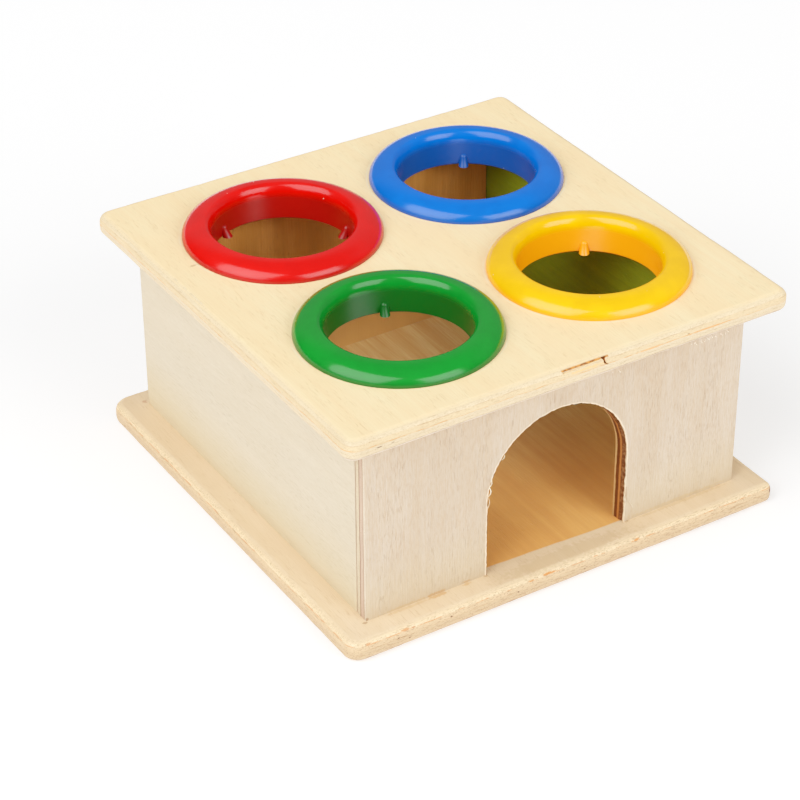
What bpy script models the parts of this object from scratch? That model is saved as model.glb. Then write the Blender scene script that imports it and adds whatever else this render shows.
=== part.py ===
"""Ball pounding bench: a small plywood box with an arched door and four moulded rings in its top.

Lengths are in metres and angles in degrees. +Z is up and the arched wall faces -Y. The origin is
the centre of the base plate's underside, so the bench stands on Z = 0.
"""

import math

import bmesh
import bpy

# Joints: glued or pressed faces that meet keep this gap
JOINT_GAP = 0.0003

# Ring: one hollow moulding, whose sleeve is pressed into a hole of the top plate
BORE_RADIUS = 0.01565
SLEEVE_WALL = 0.0016
SLEEVE_DEPTH = 0.0053
RIM_WIDTH = 0.00655
RIM_CREST = 0.0016
RIM_HEIGHT = 0.0034
RIM_INNER_RISE = 0.0025
RIM_SHELL = 0.0016
LIP_ROUND = 0.0004

# Ribs: three stops on each ring's bore, which hold a ball until it is knocked through. Each one is a
# post that tapers upwards and leans back into the bore's wall.
RIB_COUNT = 3
RIB_RADIUS = 0.00115
RIB_TIP_RADIUS = 0.00085
RIB_REACH = 0.0019
RIB_HEIGHT = 0.0027
RIB_LEAN = 0.0014
RIB_LIFT = 0.0001

# Plates: the base and the top are cut alike, as wide as the four rings need
RING_SPACING = 0.0037
RING_MARGIN = 0.00875
PLATE_THICKNESS = 0.0050
PLATE_CORNER_RADIUS = 0.0035
PLATE_EDGE_ROUND = 0.0018

# Walls: three-ply panels between the plates. The front one covers the side walls' front ends, and
# the back one fits between the side walls.
BENCH_HEIGHT = 0.0550
SIDE_OVERHANG = 0.0074
END_OVERHANG = 0.0064
WALL_THICKNESS = 0.0034
WALL_EDGE_BREAK = 0.0002

# Door: a round-topped opening in the front wall, from the base plate up
DOOR_WIDTH = 0.0358
DOOR_LINTEL = 0.0086

# Sizes that follow from the ones above
SLEEVE_RADIUS = BORE_RADIUS + SLEEVE_WALL
RIM_RADIUS = BORE_RADIUS + RIM_WIDTH
HOLE_RADIUS = SLEEVE_RADIUS + JOINT_GAP
RING_OFFSET = RIM_RADIUS + RING_SPACING / 2
PLATE_SIDE = 2 * (RING_OFFSET + RIM_RADIUS + RING_MARGIN)
WALL_BOX_WIDTH = PLATE_SIDE - 2 * SIDE_OVERHANG
WALL_BOX_DEPTH = PLATE_SIDE - 2 * END_OVERHANG
WALL_FOOT = PLATE_THICKNESS + JOINT_GAP
WALL_HEAD = BENCH_HEIGHT - PLATE_THICKNESS - JOINT_GAP
WALL_HEIGHT = WALL_HEAD - WALL_FOOT
SIDE_WALL_OFFSET = (WALL_BOX_WIDTH - WALL_THICKNESS) / 2
END_WALL_OFFSET = (WALL_BOX_DEPTH - WALL_THICKNESS) / 2
SIDE_WALL_LENGTH = WALL_BOX_DEPTH - WALL_THICKNESS - JOINT_GAP
BACK_WALL_LENGTH = WALL_BOX_WIDTH - 2 * (WALL_THICKNESS + JOINT_GAP)

# Cuts run past the faces that they open
OVERRUN = 0.0010

# Facets
TURN_STEPS = 40
INNER_RIM_STEPS = 4
OUTER_RIM_STEPS = 8
HOLLOW_STEPS = 4
ARCH_STEPS = 24
CORNER_STEPS = 6
EDGE_STEPS = 3
RIB_STEPS = 10
RIB_DOME_STEPS = 3

# Each ring: name, side along X, side along Y, direction of its first rib, colour
RINGS = (
    ("red_ring", -1, 1, 117.0, (0.78, 0.015, 0.010)),
    ("blue_ring", 1, 1, 59.0, (0.015, 0.17, 0.72)),
    ("yellow_ring", 1, -1, 58.0, (0.95, 0.52, 0.010)),
    ("green_ring", -1, -1, 69.5, (0.018, 0.33, 0.060)),
)

BIRCH_FACE = (0.93, 0.80, 0.56)
BIRCH_WALL = (0.80, 0.70, 0.54)


def clear_scene():
    """Starts from an empty file, so that the bench is all there is."""
    for leftover in list(bpy.data.objects):
        bpy.data.objects.remove(leftover, do_unlink=True)


def new_collection(name):
    """A collection of its own for the parts, and one for the cutters."""
    collection = bpy.data.collections.new(name)
    bpy.context.scene.collection.children.link(collection)
    return collection


def finish_of(name, colour, roughness):
    """A Principled material with the piece's colour and roughness."""
    material = bpy.data.materials.new(name)
    material.use_nodes = True
    shader = material.node_tree.nodes["Principled BSDF"]
    shader.inputs["Base Color"].default_value = (*colour, 1.0)
    shader.inputs["Roughness"].default_value = roughness
    shader.inputs["Metallic"].default_value = 0.0
    return material


def add_part(name, data, material, location=(0, 0, 0), rotation=(0, 0, 0)):
    """Links a finished mesh or curve as one named piece of the bench."""
    data.materials.append(material)
    piece = bpy.data.objects.new(name, data)
    piece.location = location
    piece.rotation_euler = rotation
    piece.parent = bench
    parts.objects.link(piece)
    return piece


def add_cutter(name, data, location):
    """A shape that only cuts or joins, kept out of the render."""
    cutter = bpy.data.objects.new(name, data)
    cutter.location = location
    cutter.parent = bench
    cutter.hide_render = True
    cutter.display_type = "WIRE"
    cutters.objects.link(cutter)
    return cutter


def boolean(piece, tool, operation):
    """Cuts the tool from the piece, or joins it on."""
    modifier = piece.modifiers.new(tool.name, "BOOLEAN")
    modifier.operation = operation
    modifier.solver = "EXACT"
    modifier.object = tool


def upright_edges(shape):
    """The edges that run along Z."""
    return [
        edge
        for edge in shape.edges
        if abs(edge.verts[0].co.z - edge.verts[1].co.z) > edge.calc_length() / 2
    ]


def rim_edges(shape):
    """The edges where the level faces meet the sides."""
    return [
        edge
        for edge in shape.edges
        if sum(abs(face.normal.z) > math.cos(math.radians(45)) for face in edge.link_faces) == 1
    ]


def plate_mesh(name):
    """A square plate with rounded corners and sanded-round edges."""
    shape = bmesh.new()
    bmesh.ops.create_cube(shape, size=1)
    bmesh.ops.scale(shape, vec=(PLATE_SIDE, PLATE_SIDE, PLATE_THICKNESS), verts=shape.verts)
    bmesh.ops.bevel(
        shape,
        geom=upright_edges(shape),
        offset=PLATE_CORNER_RADIUS,
        segments=CORNER_STEPS,
        profile=0.5,
        affect="EDGES",
    )
    bmesh.ops.bevel(
        shape,
        geom=rim_edges(shape),
        offset=min(PLATE_EDGE_ROUND, PLATE_THICKNESS / 2 - JOINT_GAP),
        segments=EDGE_STEPS,
        profile=0.5,
        affect="EDGES",
    )
    mesh = bpy.data.meshes.new(name)
    shape.to_mesh(mesh)
    shape.free()
    return mesh


def make_base_plate(material):
    """The plate that the bench stands on."""
    add_part("base_plate", plate_mesh("base_plate"), material, (0, 0, PLATE_THICKNESS / 2))


def hole_mesh():
    """A cutter for one ring's hole, long enough to run out of both faces."""
    shape = bmesh.new()
    bmesh.ops.create_cone(
        shape,
        cap_ends=True,
        segments=TURN_STEPS,
        radius1=HOLE_RADIUS,
        radius2=HOLE_RADIUS,
        depth=PLATE_THICKNESS + 2 * OVERRUN,
    )
    mesh = bpy.data.meshes.new("ring_hole")
    shape.to_mesh(mesh)
    shape.free()
    return mesh


def make_top_plate(material):
    """The plate with one hole for each ring."""
    middle = BENCH_HEIGHT - PLATE_THICKNESS / 2
    plate = add_part("top_plate", plate_mesh("top_plate"), material, (0, 0, middle))
    mesh = hole_mesh()
    for name, side_x, side_y, _, _ in RINGS:
        hole = add_cutter(name + "_hole", mesh, (side_x * RING_OFFSET, side_y * RING_OFFSET, middle))
        boolean(plate, hole, "DIFFERENCE")


def panel_mesh(name, length_x, length_y):
    """A plain wall panel with its edges just broken."""
    shape = bmesh.new()
    bmesh.ops.create_cube(shape, size=1)
    bmesh.ops.scale(shape, vec=(length_x, length_y, WALL_HEIGHT), verts=shape.verts)
    bmesh.ops.bevel(
        shape,
        geom=shape.edges[:],
        offset=WALL_EDGE_BREAK,
        segments=1,
        affect="EDGES",
    )
    mesh = bpy.data.meshes.new(name)
    shape.to_mesh(mesh)
    shape.free()
    return mesh


def make_plain_walls(wood):
    """The two side walls, from the front wall to the back, and the back wall between them."""
    middle = (WALL_FOOT + WALL_HEAD) / 2
    back = panel_mesh("back_wall", BACK_WALL_LENGTH, WALL_THICKNESS)
    add_part("back_wall", back, wood, (0, END_WALL_OFFSET, middle))
    side_middle = (WALL_BOX_DEPTH - SIDE_WALL_LENGTH) / 2
    for name, side in (("left_wall", -1), ("right_wall", 1)):
        mesh = panel_mesh(name, WALL_THICKNESS, SIDE_WALL_LENGTH)
        add_part(name, mesh, wood, (side * SIDE_WALL_OFFSET, side_middle, middle))


def arched_outline():
    """The front wall's outline, seen from the front, with the door's arch as a half circle."""
    half_wall = WALL_BOX_WIDTH / 2
    half_door = DOOR_WIDTH / 2
    spring = WALL_HEIGHT - DOOR_LINTEL - half_door
    outline = [(-half_door, 0)]
    for step in range(ARCH_STEPS + 1):
        turn = math.pi * (1 - step / ARCH_STEPS)
        outline.append((half_door * math.cos(turn), spring + half_door * math.sin(turn)))
    outline += [(half_door, 0), (half_wall, 0), (half_wall, WALL_HEIGHT)]
    outline += [(-half_wall, WALL_HEIGHT), (-half_wall, 0)]
    return outline


def make_front_wall(wood):
    """The wall with the door, cut from its outline and stood upright."""
    curve = bpy.data.curves.new("front_wall", "CURVE")
    curve.dimensions = "2D"
    curve.fill_mode = "BOTH"
    curve.extrude = WALL_THICKNESS / 2
    outline = arched_outline()
    spline = curve.splines.new("POLY")
    spline.points.add(len(outline) - 1)
    for point, (across, up) in zip(spline.points, outline):
        point.co = (across, up, 0, 1)
    spline.use_cyclic_u = True
    add_part("front_wall", curve, wood, (0, -END_WALL_OFFSET, WALL_FOOT), (math.radians(90), 0, 0))


def ellipse_arc(centre, half_width, height, start, end, steps):
    """Points along an ellipse from one direction to another, in degrees up from the outward one."""
    points = []
    for step in range(steps + 1):
        turn = math.radians(start + (end - start) * step / steps)
        points.append((centre[0] + half_width * math.cos(turn), centre[1] + height * math.sin(turn)))
    return points


def ring_profile():
    """The ring's section as radius and height, the plate's top face being height zero."""
    seat = JOINT_GAP
    crest = BORE_RADIUS + RIM_CREST
    inner_start = (crest, RIM_HEIGHT - RIM_INNER_RISE)
    inner_rim = ellipse_arc(inner_start, RIM_CREST, RIM_INNER_RISE, 180, 90, INNER_RIM_STEPS)
    outer_width = RIM_WIDTH - RIM_CREST
    outer_rim = ellipse_arc((crest, seat), outer_width, RIM_HEIGHT - seat, 90, 0, OUTER_RIM_STEPS)
    hollow = (RIM_WIDTH - SLEEVE_WALL - RIM_SHELL) / 2
    hollow_rise = RIM_HEIGHT - RIM_SHELL - seat
    underside = ellipse_arc((SLEEVE_RADIUS + hollow, seat), hollow, hollow_rise, 0, 180, HOLLOW_STEPS)
    sleeve = [
        (SLEEVE_RADIUS, LIP_ROUND - SLEEVE_DEPTH),
        (SLEEVE_RADIUS - LIP_ROUND, -SLEEVE_DEPTH),
        (BORE_RADIUS + LIP_ROUND, -SLEEVE_DEPTH),
        (BORE_RADIUS, LIP_ROUND - SLEEVE_DEPTH),
    ]
    return inner_rim + outer_rim[1:] + underside + sleeve


def rib_profile():
    """A tapered post's section as radius and height above its foot, from its domed tip down."""
    straight = RIB_HEIGHT - RIB_TIP_RADIUS
    dome = []
    for step in range(RIB_DOME_STEPS + 1):
        turn = math.pi / 2 * (1 - step / RIB_DOME_STEPS)
        dome.append((RIB_TIP_RADIUS * math.cos(turn), straight + RIB_TIP_RADIUS * math.sin(turn)))
    return [(0, RIB_HEIGHT)] + dome[1:] + [(RIB_RADIUS, 0), (0, 0)]


def rib_mesh():
    """A rib standing on its foot at the origin, with its tip leaning along X."""
    shape = bmesh.new()
    corners = [shape.verts.new((radius, 0, height)) for radius, height in rib_profile()]
    edges = [shape.edges.new(ends) for ends in zip(corners, corners[1:])]
    bmesh.ops.spin(
        shape,
        geom=corners + edges,
        cent=(0, 0, 0),
        axis=(0, 0, 1),
        angle=math.radians(360),
        steps=RIB_STEPS,
        use_merge=True,
    )
    bmesh.ops.remove_doubles(shape, verts=shape.verts[:], dist=JOINT_GAP / 100)
    for corner in shape.verts:
        corner.co.x += RIB_LEAN * corner.co.z / RIB_HEIGHT
    bmesh.ops.recalc_face_normals(shape, faces=shape.faces[:])
    mesh = bpy.data.meshes.new("rib")
    shape.to_mesh(mesh)
    shape.free()
    return mesh


def section_mesh(name, profile):
    """A closed section in the XZ plane, as a loop of edges."""
    mesh = bpy.data.meshes.new(name)
    shape = bmesh.new()
    corners = [shape.verts.new((radius, 0, height)) for radius, height in profile]
    for first, second in zip(corners, corners[1:] + corners[:1]):
        shape.edges.new((first, second))
    shape.to_mesh(mesh)
    shape.free()
    return mesh


def turn_round(piece, steps):
    """Sweeps a section once round Z."""
    screw = piece.modifiers.new("turn", "SCREW")
    screw.axis = "Z"
    screw.angle = math.radians(360)
    screw.steps = steps
    screw.render_steps = steps
    screw.use_smooth_shade = True
    screw.use_merge_vertices = True
    screw.merge_threshold = JOINT_GAP / 100


def make_ring(name, side_x, side_y, first_rib, colour):
    """One turned moulding with its ribs joined on inside the bore."""
    place = (side_x * RING_OFFSET, side_y * RING_OFFSET, BENCH_HEIGHT)
    plastic = finish_of(name + "_plastic", colour, 0.28)
    ring = add_part(name, section_mesh(name, ring_profile()), plastic, place)
    turn_round(ring, TURN_STEPS)
    rib_centre = BORE_RADIUS - RIB_REACH + RIB_RADIUS
    mesh = rib_mesh()
    for index in range(RIB_COUNT):
        turn = math.radians(first_rib + index * 360 / RIB_COUNT)
        foot = (
            place[0] + rib_centre * math.cos(turn),
            place[1] + rib_centre * math.sin(turn),
            place[2] - SLEEVE_DEPTH + RIB_LIFT,
        )
        rib = add_cutter(f"{name}_rib_{index + 1}", mesh, foot)
        rib.rotation_euler = (0, 0, turn)
        boolean(ring, rib, "UNION")


clear_scene()
parts = new_collection("pounding_bench")
cutters = new_collection("cutters")
bench = bpy.data.objects.new("bench", None)
parts.objects.link(bench)

plate_wood = finish_of("plate_birch", BIRCH_FACE, 0.55)
wall_wood = finish_of("wall_birch", BIRCH_WALL, 0.65)

make_base_plate(plate_wood)
make_front_wall(wall_wood)
make_plain_walls(wall_wood)
make_top_plate(plate_wood)
for ring_row in RINGS:
    make_ring(*ring_row)
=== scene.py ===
"""Looks of the ball pounding bench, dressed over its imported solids.

Lengths are metres in the solids' own frame: +Z is up, the arched wall faces -Y and the bench stands
on Z = 0. The sections follow the order in which the real bench is put together.
"""

import math

import bmesh
import bpy
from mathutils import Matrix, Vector


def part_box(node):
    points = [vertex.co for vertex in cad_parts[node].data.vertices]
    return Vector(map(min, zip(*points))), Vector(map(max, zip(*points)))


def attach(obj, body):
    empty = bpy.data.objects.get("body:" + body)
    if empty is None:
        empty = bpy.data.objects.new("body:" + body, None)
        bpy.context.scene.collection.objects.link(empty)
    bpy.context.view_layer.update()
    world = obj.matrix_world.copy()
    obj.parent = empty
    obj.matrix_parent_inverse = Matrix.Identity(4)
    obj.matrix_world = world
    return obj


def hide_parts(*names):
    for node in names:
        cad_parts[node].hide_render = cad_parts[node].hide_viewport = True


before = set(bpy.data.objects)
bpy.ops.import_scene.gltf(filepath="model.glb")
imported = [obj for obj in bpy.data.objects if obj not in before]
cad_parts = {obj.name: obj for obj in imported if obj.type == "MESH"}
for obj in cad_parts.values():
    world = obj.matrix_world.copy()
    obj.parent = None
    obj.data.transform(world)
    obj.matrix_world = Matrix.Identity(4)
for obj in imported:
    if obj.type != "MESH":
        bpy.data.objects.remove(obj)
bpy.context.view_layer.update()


# Studio: the bench stands on a pale sweep in a dim room with a bright pale wall behind it. A large
# soft box hangs on the left and a smaller one near the camera, on its right. The camera stands where
# the photograph was taken from.
CAMERA_PLACE = (-0.266386, -0.414023, 0.3401)
CAMERA_TILT = (56.6375, 0.1978, -32.0074)
camera = bpy.data.objects.new("photo_camera", bpy.data.cameras.new("photo_camera"))
camera.data.sensor_width = 36.0
camera.data.lens = 117.726
camera.data.clip_start = 0.01
camera.location = CAMERA_PLACE
camera.rotation_euler = [math.radians(angle) for angle in CAMERA_TILT]
bpy.context.scene.collection.objects.link(camera)
bpy.context.scene.camera = camera

# Film: like the photograph's, it holds back the bright tones, so that the shade inside the box stays open
FILM_REACH = 1.8
FILM_WHITE = 1 / (FILM_REACH - 1)
film = bpy.context.scene.view_settings
film.view_transform = "Standard"
film.use_curve_mapping = True
film.curve_mapping.white_level = (FILM_WHITE, FILM_WHITE, FILM_WHITE)
for share in (0.03, 0.08, 0.16, 0.28, 0.42, 0.58, 0.78):
    light = share * FILM_WHITE
    film.curve_mapping.curves[3].points.new(share, FILM_REACH * light / (1 + light))
film.curve_mapping.update()


def feed(tree, kind, *feeds, **settings):
    """Adds a shader node and feeds its inputs in order, with numbers or with other nodes' outputs."""
    node = tree.nodes.new(kind)
    for setting, value in settings.items():
        setattr(node, setting, value)
    for socket, value in zip(node.inputs, feeds):
        if isinstance(value, bpy.types.NodeSocket):
            tree.links.new(value, socket)
        elif value is not None:
            socket.default_value = value
    return node.outputs


def reckon(tree, operation, *values):
    """One sum on shader values."""
    return feed(tree, "ShaderNodeMath", *values, operation=operation)[0]


def fade(tree, value, start, end):
    """Runs smoothly from 0 to 1 as the value goes from start to end."""
    return feed(tree, "ShaderNodeMapRange", value, start, end, 0.0, 1.0, interpolation_type="SMOOTHSTEP")[0]


def soft_light(name, azimuth, elevation, width, height, radiance):
    """A soft box aimed at the rings. Its place and size are angles in degrees, and azimuth 0 is +Y."""
    distance = 2.6
    aim = Vector((0, 0, 0.05))
    light = bpy.data.lights.new(name, "AREA")
    light.shape = "RECTANGLE"
    light.size = 2 * distance * math.tan(math.radians(width / 2))
    light.size_y = 2 * distance * math.tan(math.radians(height / 2))
    light.energy = math.pi * light.size * light.size_y * radiance
    lamp = bpy.data.objects.new(name, light)
    turn = math.radians(azimuth)
    rise = math.radians(elevation)
    away = Vector((math.sin(turn) * math.cos(rise), math.cos(turn) * math.cos(rise), math.sin(rise)))
    lamp.location = aim + away * distance
    lamp.rotation_euler = away.to_track_quat("Z", "Y").to_euler()
    bpy.context.scene.collection.objects.link(lamp)


soft_light("left_softbox_spill", azimuth=-101, elevation=40, width=56, height=56, radiance=2.35)
soft_light("left_softbox", azimuth=-101, elevation=40, width=36, height=36, radiance=3.5)
soft_light("right_softbox_spill", azimuth=165, elevation=27, width=40, height=42, radiance=2.4)
soft_light("right_softbox", azimuth=165, elevation=27, width=26, height=28, radiance=4.6)

WALL_AZIMUTH = math.radians(52)
DARK_GLOW = 0.02
CEILING_GLOW = 0.30
WALL_GLOW = 0.28
room = bpy.data.worlds.new("dim_room_with_pale_wall")
room.use_nodes = True
bpy.context.scene.world = room
tree = room.node_tree
looking = tree.nodes.new("ShaderNodeTexCoord").outputs["Generated"]
look_x, look_y, look_z = feed(tree, "ShaderNodeSeparateXYZ", looking)
towards_wall = reckon(tree, "MULTIPLY", look_x, math.sin(WALL_AZIMUTH))
towards_wall = reckon(tree, "MULTIPLY_ADD", look_y, math.cos(WALL_AZIMUTH), towards_wall)
wall_share = reckon(tree, "MULTIPLY", fade(tree, towards_wall, 0.15, 0.60), fade(tree, look_z, 0.88, 0.60))
upwards = reckon(tree, "MAXIMUM", look_z, 0.0)
glow = reckon(tree, "MULTIPLY_ADD", upwards, CEILING_GLOW, DARK_GLOW)
glow = reckon(tree, "MULTIPLY_ADD", wall_share, WALL_GLOW, glow)

# Dark flags stand close round the bench, so its gloss mirrors half as much of the room as lights it
FLAGGED_SHARE = 0.50
mirrored = tree.nodes.new("ShaderNodeLightPath").outputs["Is Glossy Ray"]
glow = reckon(tree, "MULTIPLY", glow, reckon(tree, "MULTIPLY_ADD", mirrored, -FLAGGED_SHARE, 1.0))
tree.nodes["Background"].inputs["Color"].default_value = (1.0, 1.0, 1.0, 1.0)
tree.links.new(glow, tree.nodes["Background"].inputs["Strength"])

bpy.ops.object.select_all(action="DESELECT")
bpy.ops.mesh.primitive_plane_add(size=12.0)
sweep = bpy.context.object
sweep.name = "pale_sweep"
paper = bpy.data.materials.new("pale_paper")
paper.use_nodes = True
paper_shader = paper.node_tree.nodes["Principled BSDF"]
paper_shader.inputs["Base Color"].default_value = (0.80, 0.80, 0.80, 1.0)
paper_shader.inputs["Roughness"].default_value = 0.9
paper_shader.inputs["Specular IOR Level"].default_value = 0.1
paper_shader.inputs["Emission Color"].default_value = (1.0, 1.0, 1.0, 1.0)
paper_shader.inputs["Emission Strength"].default_value = 0.35
sweep.data.materials.append(paper)


# Birch plywood: how its fibres, pores, glue lines and small marks look. The same timber is used for
# both plates and all four walls, so its figure is made once here and placed in each of their finishes.
OUTDOOR_LIGHT = 1.15


def tone(red, green, blue):
    """A colour as the picture would show it in a plain light, 0 to 255, for a shader."""
    shares = [channel / 255 for channel in (red, green, blue)]
    linear = [x / 12.92 if x <= 0.04045 else ((x + 0.055) / 1.055) ** 2.4 for x in shares]
    shown = [OUTDOOR_LIGHT * x for x in linear]
    return (*(min(0.97, x / (FILM_REACH - x) / OUTDOOR_LIGHT) for x in shown), 1.0)


def between(tree, value, start, end, soft):
    """Is 1 from start to end and 0 outside, with soft ends."""
    rise = fade(tree, value, start - soft, start + soft)
    fall = fade(tree, value, end + soft, end - soft)
    return reckon(tree, "MULTIPLY", rise, fall)


def tint(tree, share, under, over):
    """Lays one colour over another by a share."""
    node = tree.nodes.new("ShaderNodeMix")
    node.data_type = "RGBA"
    for socket, value in ((node.inputs[0], share), (node.inputs[6], under), (node.inputs[7], over)):
        if isinstance(value, bpy.types.NodeSocket):
            tree.links.new(value, socket)
        else:
            socket.default_value = value
    return node.outputs[2]


def wash(tree, mask, strength, under, over):
    """Lays a colour over another where a mask is, at a strength."""
    return tint(tree, reckon(tree, "MULTIPLY", mask, strength), under, over)


def turn_to(tree, share, under, over):
    """Goes from one value to another by a share."""
    return feed(tree, "ShaderNodeMix", share, None, under, over)[0]


def noise(tree, place, length, width, detail=2.0, seed=0.0):
    """Grain-shaped noise: as long as length along X of the place, and as wide as width across it."""
    moved = feed(tree, "ShaderNodeVectorMath", place, (seed, seed, seed), operation="ADD")[0]
    sizes = (1 / length, 1 / width, 1 / width)
    scaled = feed(tree, "ShaderNodeVectorMath", moved, sizes, operation="MULTIPLY")[0]
    return feed(tree, "ShaderNodeTexNoise", scaled, None, 1.0, detail, 0.55)[0]


def new_effect(name, takes, gives):
    """An empty node group with its inputs and outputs, for an effect that several finishes share."""
    group = bpy.data.node_groups.new(name, "ShaderNodeTree")
    for label, kind in takes:
        group.interface.new_socket(name=label, in_out="INPUT", socket_type=kind)
    for label in gives:
        group.interface.new_socket(name=label, in_out="OUTPUT", socket_type="NodeSocketFloat")
    inlet = group.nodes.new("NodeGroupInput")
    outlet = group.nodes.new("NodeGroupOutput")
    return group, inlet.outputs, outlet.inputs


def use_effect(tree, effect, *feeds):
    """Places a shared effect in a finish."""
    return feed(tree, "ShaderNodeGroup", *feeds, node_tree=effect)


def new_finish(name):
    """A material with its tree, its shader, and the place and normal on the piece."""
    material = bpy.data.materials.new(name)
    material.use_nodes = True
    tree = material.node_tree
    shader = tree.nodes["Principled BSDF"]
    guide = tree.nodes.new("ShaderNodeTexCoord")
    return material, tree, shader, guide.outputs["Object"], guide.outputs["Normal"]


def lay_on(tree, shader, colour, roughness, height, depth):
    """Gives the shader its colour and roughness, and a relief of the depth in metres."""
    relief = tree.nodes.new("ShaderNodeBump")
    relief.inputs["Strength"].default_value = 1.0
    relief.inputs["Distance"].default_value = depth
    tree.links.new(height, relief.inputs["Height"])
    tree.links.new(relief.outputs["Normal"], shader.inputs["Normal"])
    tree.links.new(colour, shader.inputs["Base Color"])
    tree.links.new(roughness, shader.inputs["Roughness"])


# Figure: fine fibres, short dark pores, soft clouds and broad bands, all drawn out along the grain
birch_figure, takes, gives = new_effect(
    "birch_figure",
    (("Grain", "NodeSocketVector"), ("Seed", "NodeSocketVector")),
    ("Fibres", "Pores", "Clouds", "Bands"),
)
timber = feed(birch_figure, "ShaderNodeVectorMath", takes["Grain"], takes["Seed"], operation="ADD")[0]
fine = noise(birch_figure, timber, 0.0080, 0.00030, 3.0)
broad = noise(birch_figure, timber, 0.0400, 0.0022, 2.0, 0.31)
fine_share = reckon(birch_figure, "MULTIPLY", fine, 0.65)
fibres = reckon(birch_figure, "MULTIPLY_ADD", broad, 0.35, fine_share)
dashes = fade(birch_figure, noise(birch_figure, timber, 0.0026, 0.00024, 1.0, 0.17), 0.60, 0.72)
thick_with_pores = fade(birch_figure, noise(birch_figure, timber, 0.0180, 0.0035, 1.0, 0.53), 0.34, 0.58)
clouds = noise(birch_figure, timber, 0.0320, 0.0110, 3.0, 0.77)
bands = noise(birch_figure, timber, 0.1100, 0.0034, 2.0, 0.12)
birch_figure.links.new(fade(birch_figure, fibres, 0.34, 0.66), gives["Fibres"])
birch_figure.links.new(reckon(birch_figure, "MULTIPLY", dashes, thick_with_pores), gives["Pores"])
birch_figure.links.new(fade(birch_figure, clouds, 0.34, 0.66), gives["Clouds"])
birch_figure.links.new(fade(birch_figure, bands, 0.40, 0.62), gives["Bands"])

# Glue line: a thin line at a given depth in the board, which wavers and breaks up on its way
glue_line, takes, gives = new_effect(
    "glue_line",
    (
        ("Depth", "NodeSocketFloat"),
        ("Line", "NodeSocketFloat"),
        ("Width", "NodeSocketFloat"),
        ("Place", "NodeSocketVector"),
    ),
    ("Mask", "Whole"),
)
wander = noise(glue_line, takes["Place"], 0.0045, 0.0045, 2.0)
waver = reckon(glue_line, "MULTIPLY", reckon(glue_line, "SUBTRACT", wander, 0.5), 0.00050)
off_line = reckon(glue_line, "SUBTRACT", reckon(glue_line, "ADD", takes["Depth"], waver), takes["Line"])
from_line = reckon(glue_line, "DIVIDE", reckon(glue_line, "ABSOLUTE", off_line), takes["Width"])
gap_in_line = noise(glue_line, takes["Place"], 0.0024, 0.0024, 3.0, 0.43)
glue_line.links.new(fade(glue_line, from_line, 1.0, 0.35), gives["Mask"])
glue_line.links.new(fade(glue_line, gap_in_line, 0.42, 0.60), gives["Whole"])

# Small mark: an uneven spot of a given centre and size, for stains, pits, chips and dried glue, and for
# painted shade
small_mark, takes, gives = new_effect(
    "small_mark",
    (
        ("Place", "NodeSocketVector"),
        ("Centre", "NodeSocketVector"),
        ("Size", "NodeSocketVector"),
        ("Unevenness", "NodeSocketFloat"),
    ),
    ("Mask",),
)
offset = feed(small_mark, "ShaderNodeVectorMath", takes["Place"], takes["Centre"], operation="SUBTRACT")[0]
share = feed(small_mark, "ShaderNodeVectorMath", offset, takes["Size"], operation="DIVIDE")[0]
reach = feed(small_mark, "ShaderNodeVectorMath", share, operation="LENGTH")[1]
ragged = reckon(small_mark, "SUBTRACT", noise(small_mark, takes["Place"], 0.0008, 0.0008, 3.0, 0.22), 0.5)
reach = reckon(small_mark, "MULTIPLY_ADD", ragged, takes["Unevenness"], reach)
small_mark.links.new(fade(small_mark, reach, 1.0, 0.55), gives["Mask"])
MARK_UNEVENNESS = 1.6


def put_marks(tree, place, colour, marks):
    """Lays small marks on a colour; each has a centre and a size in millimetres, a tone and a strength."""
    for centre, size, shade, strength in marks:
        centre = tuple(length / 1000 for length in centre)
        size = tuple(length / 1000 for length in size)
        mask = use_effect(tree, small_mark, place, centre, size, MARK_UNEVENNESS)[0]
        colour = wash(tree, mask, strength, colour, tone(*shade))
    return colour


def plies(tree, depth, layers, soft):
    """The colour of an edge by how deep in the board it lies: each ply has its start and its tone."""
    colour = tone(*layers[0][1])
    for start, shade in layers[1:]:
        colour = tint(tree, fade(tree, depth, start - soft, start + soft), colour, tone(*shade))
    return colour


# Base plate: a five-ply birch board, sawn square, with its corners rounded on a disc sander and its
# edges sanded round by hand. It has one thin coat of clear lacquer. Where the door and the rings let
# one see it inside the box, it is amber.
PLY = 0.0010
EDGE_ROUND = 0.0018
PLY_RELIEF = 0.00005
PLATE_RELIEF = 0.00005
BASE_CORNERS = ((-1, -1, 0.0038), (1, -1, 0.0022), (1, 1, 0.0035), (-1, 1, 0.0048))
plate_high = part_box("base_plate")[1]
wall_low, wall_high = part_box("front_wall")


def pick(piece, kind, wanted):
    """Selects the vertices, edges or faces of the piece in hand that pass a test."""
    bpy.ops.mesh.select_mode(type=kind)
    bpy.ops.mesh.select_all(action="DESELECT")
    shape = bmesh.from_edit_mesh(piece.data)
    elements = {"VERT": shape.verts, "EDGE": shape.edges, "FACE": shape.faces}[kind]
    for element in elements:
        if wanted(element):
            element.select_set(True)
    bmesh.update_edit_mesh(piece.data)


def take_in_hand(name):
    """Names the primitive just added, puts its place in its mesh and opens it for shaping."""
    piece = bpy.context.object
    piece.name = name
    piece.data.name = name
    bpy.ops.object.transform_apply(location=True, rotation=True, scale=True)
    bpy.ops.object.mode_set(mode="EDIT")
    return piece


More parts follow.
